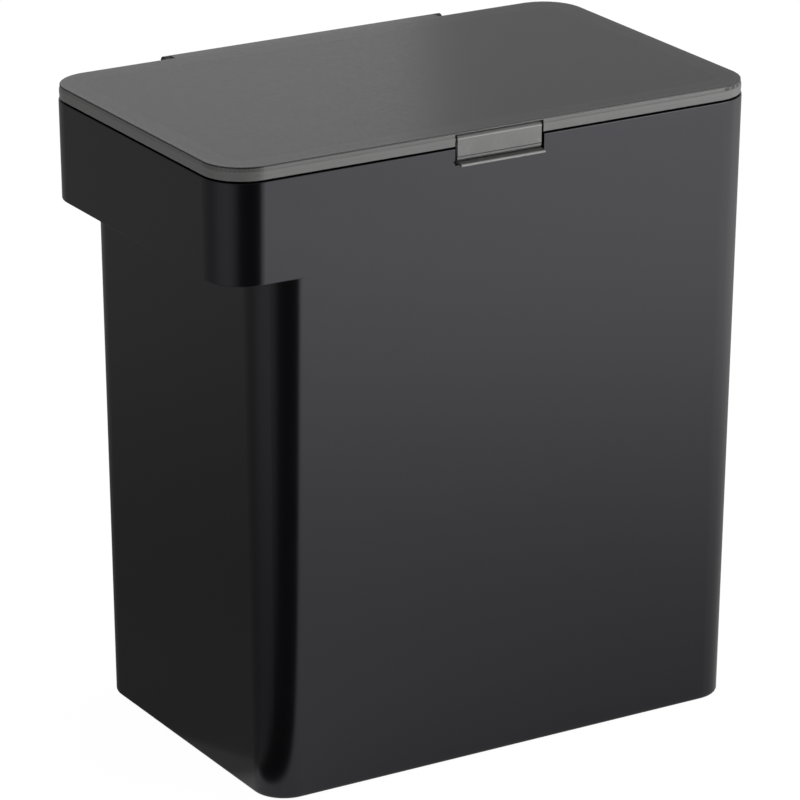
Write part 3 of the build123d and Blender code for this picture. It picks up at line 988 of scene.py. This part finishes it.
class BIN_OT_studio(Operator):
    """Builds the floor, the lamps, the world and the camera"""

    bl_idname = "storage_bin.studio"
    bl_label = "Studio"

    def execute(self, context):
        studio = context.scene.bin_studio
        self.floor(studio)
        self.world(studio)
        # Each lamp's place, the point that it faces, its width and its power
        self.lamp("key", (0.66, -0.76, 0.36), (0.05, -0.08, 0.25), 0.5, studio.key_power)
        self.lamp("back", (0.2, 0.85, 0.62), (-0.05, 0.0, 0.3), 0.6, studio.back_power)
        self.lamp("top", (0.1, 0.2, 2.2), (0.0, 0.0, 0.3), 1.8, studio.top_power)
        self.camera(studio)
        context.scene.view_settings.view_transform = "Standard"
        return {"FINISHED"}

    def floor(self, studio):
        """A round level sheet: rings of growing radius, as points radius * (cosine, sine)."""
        spokes = 96
        angle = np.linspace(0, 4 * QUARTER, spokes, endpoint=False)
        level = np.full(spokes, FLOOR_LEVEL)
        circles = np.stack([
            np.column_stack((radius * np.cos(angle), radius * np.sin(angle), level))
            for radius in (0.3, 0.8, 2.0, 6.0, 20.0)
        ])
        faces = grid_faces(len(circles), spokes) + [list(range(spokes))]
        sheet = mesh_object("floor", circles.reshape(-1, 3), faces)
        material, tree, shader, place = new_material("White paper, calendered")
        fibre = add_node(tree, "TexNoise", {"Vector": place, "Scale": 1 / (2.5 * MM)})
        fibre = add_node(tree, "MapRange", (fibre, *NOISE_RANGE, 0.0, 1.0), **SOFT)
        paper = add_node(
            tree, "Mix", {0: fibre, 6: studio.backdrop[:], 7: linear("#f4f4f4")}, 2, **COLOURS
        )
        plug(tree, shader, {"Base Color": paper, "Roughness": 0.9})
        # Measured from beside their corner, the front and the left face mirror other parts of the room
        away = add_node(tree, "VectorMath", (place, MIRROR_CORNER), operation="SUBTRACT")
        away = add_node(tree, "VectorMath", (away,), operation="NORMALIZE")
        # For gloss, the paper's light is painted dimmer near the black tub and behind it, a painted shade
        # that the tub's faces mirror
        far = add_node(tree, "VectorMath", (place,), "Value", operation="LENGTH")
        far = add_node(tree, "MapRange", (far, 0.2, 0.9, 0.62, 1.42), **SOFT)
        row = add_node(tree, "SeparateXYZ", (place,), "Y")
        row = add_node(tree, "MapRange", (row, -0.3, 0.3, 1.0, 0.6), **SOFT)
        share = add_node(tree, "Math", (far, row), operation="MULTIPLY")
        gloss, shown = self.rays(tree)
        light = self.surroundings(tree, away, gloss, share)
        white = add_node(tree, "Emission", {"Color": studio.backdrop[:], "Strength": light})
        plain = add_node(tree, "Math", (shown, 1.0 - studio.shadow_share), operation="MULTIPLY")
        mixed = add_node(tree, "MixShader", (plain, shader.outputs[0], white))
        plug(tree, tree.nodes["Material Output"], {"Surface": mixed})
        sheet.data.materials.append(material)

    def rays(self, tree):
        """1 for a glossy ray, and 1 for any ray that shows the studio: seen, mirrored or let through."""
        gloss = add_node(tree, "LightPath", (), "Is Glossy Ray")
        path = gloss.node.outputs
        shown = add_node(tree, "Math", (path["Is Camera Ray"], gloss), operation="MAXIMUM")
        return gloss, add_node(tree, "Math", (shown, path["Is Transmission Ray"]), operation="MAXIMUM")

    def surroundings(self, tree, direction, gloss, share=1.0):
        """Brightness of the studio in a direction: plain white where it is seen, and for gloss a room
        that is dim in front, brightest at the front right, with a faint strip at the left.

        For gloss it is share * (front + right + left). Front rises from 0 to 0.24 as Y goes from -1 to
        0. Right falls from 1.4 to 0.2 as Y goes from -1 to 0.5, and is there only where X is over 0.28
        to 0.44. Left falls from 1.5 to 0 as Y goes from -1 to 0.5, times 0.27 where X is under -0.95
        and times 0 from -0.5 on.
        """
        x, y = (add_node(tree, "SeparateXYZ", (direction,), axis) for axis in "XY")
        front = add_node(tree, "MapRange", (y, -1.0, 0.0, 0.0, 0.24))
        right = (
            add_node(tree, "MapRange", (y, -1.0, 0.5, 1.4, 0.2)),
            add_node(tree, "MapRange", (x, 0.28, 0.44, 0.0, 1.0), **SOFT),
        )
        left = (
            add_node(tree, "MapRange", (y, -1.0, 0.5, 1.5, 0.0)),
            add_node(tree, "MapRange", (x, -0.95, -0.5, 0.27, 0.0), **SOFT),
        )
        level = front
        for part in (right, left):
            part = add_node(tree, "Math", part, operation="MULTIPLY")
            level = add_node(tree, "Math", (level, part), operation="ADD")
        level = add_node(tree, "Math", (level, share), operation="MULTIPLY")
        return add_node(tree, "Mix", {0: gloss, 2: WHITE, 3: level}, data_type="FLOAT", clamp_factor=False)

    def world(self, studio):
        """White where it is seen, a dim room for gloss, and a plain grey light on the object."""
        world = bpy.data.worlds.new("studio")
        bpy.context.scene.world = world
        world.use_nodes = True
        tree = world.node_tree
        lit = tree.nodes["Background"]
        plug(tree, lit, {"Strength": studio.world_light, "Color": linear("#ffffff")})
        gloss, shown = self.rays(tree)
        light = self.surroundings(tree, add_node(tree, "TexCoord", (), "Generated"), gloss)
        seen = add_node(tree, "Background", {"Color": studio.backdrop[:], "Strength": light})
        mixed = add_node(tree, "MixShader", (shown, lit.outputs[0], seen))
        plug(tree, tree.nodes["World Output"], {"Surface": mixed})

    def lamp(self, name, place, target, width, power):
        """A soft square lamp that faces a point."""
        data = bpy.data.lights.new(name, "AREA")
        data.size = width
        data.energy = power
        holder = bpy.data.objects.new(name, data)
        bpy.context.scene.collection.objects.link(holder)
        holder.location = place
        holder.rotation_euler = (Vector(target) - Vector(place)).to_track_quat("-Z", "Y").to_euler()
        holder.visible_camera = False

    def camera(self, studio):
        """Looks back along the direction (sin yaw cos pitch, -cos yaw cos pitch, sin pitch), rolled."""
        yaw, pitch, roll = studio.camera_turn
        data = bpy.data.cameras.new("camera")
        data.lens = studio.lens
        data.clip_start, data.clip_end = 0.05, 60.0
        holder = bpy.data.objects.new("camera", data)
        bpy.context.scene.collection.objects.link(holder)
        back = np.array((math.sin(yaw) * math.cos(pitch), -math.cos(yaw) * math.cos(pitch), math.sin(pitch)))
        right = np.cross(-back, (0.0, 0.0, 1.0))
        right /= np.linalg.norm(right)
        up = np.cross(right, -back)
        rolled_right = math.cos(roll) * right + math.sin(roll) * up
        rolled_up = math.cos(roll) * up - math.sin(roll) * right
        rows = np.stack((rolled_right, rolled_up, back, studio.camera_place), axis=1).tolist()
        holder.matrix_world = Matrix((*rows, (0.0, 0.0, 0.0, 1.0)))
        bpy.context.scene.camera = holder


class BIN_PT_panel(Panel):
    """Lists the bin's sizes, colours and build steps"""

    bl_idname = "BIN_PT_panel"
    bl_label = "Storage Bin"
    bl_space_type = "VIEW_3D"
    bl_region_type = "UI"
    bl_category = "Storage Bin"

    def draw(self, context):
        for label, attribute, _, operators in SECTIONS:
            box = self.layout.box()
            box.label(text=label)
            settings = getattr(context.scene, attribute)
            for name in type(settings).__annotations__:
                box.prop(settings, name)
            for operator in operators:
                box.operator(operator.bl_idname)


SECTIONS = (
    ("Tub", "bin_tub", TubSizes, (BIN_OT_tub,)),
    ("Lid", "bin_lid", LidSizes, (BIN_OT_lid, BIN_OT_seal)),
    ("Hinge", "bin_hinge", HingeSizes, (BIN_OT_rods,)),
    ("Latch", "bin_latch", LatchSizes, (BIN_OT_flap,)),
    ("Finishes", "bin_finishes", Finishes, ()),
    ("Studio", "bin_studio", StudioSettings, (BIN_OT_studio,)),
)
OPERATORS = [operator for section in SECTIONS for operator in section[3]]


def register():
    """Registers the classes and hangs their settings on the scene."""
    for _, attribute, group, _ in SECTIONS:
        bpy.utils.register_class(group)
        setattr(bpy.types.Scene, attribute, PointerProperty(type=group))
    for operator in OPERATORS:
        bpy.utils.register_class(operator)
    bpy.utils.register_class(BIN_PT_panel)


def unregister():
    """Takes back what register did."""
    bpy.utils.unregister_class(BIN_PT_panel)
    for operator in reversed(OPERATORS):
        bpy.utils.unregister_class(operator)
    for _, attribute, group, _ in reversed(SECTIONS):
        delattr(bpy.types.Scene, attribute)
        bpy.utils.unregister_class(group)


def main():
    register()
    bpy.ops.storage_bin.tub()
    bpy.ops.storage_bin.lid()
    bpy.ops.storage_bin.seal()
    bpy.ops.storage_bin.flap()
    bpy.ops.storage_bin.rods()
    bpy.ops.storage_bin.studio()


if __name__ == "__main__":
    main()
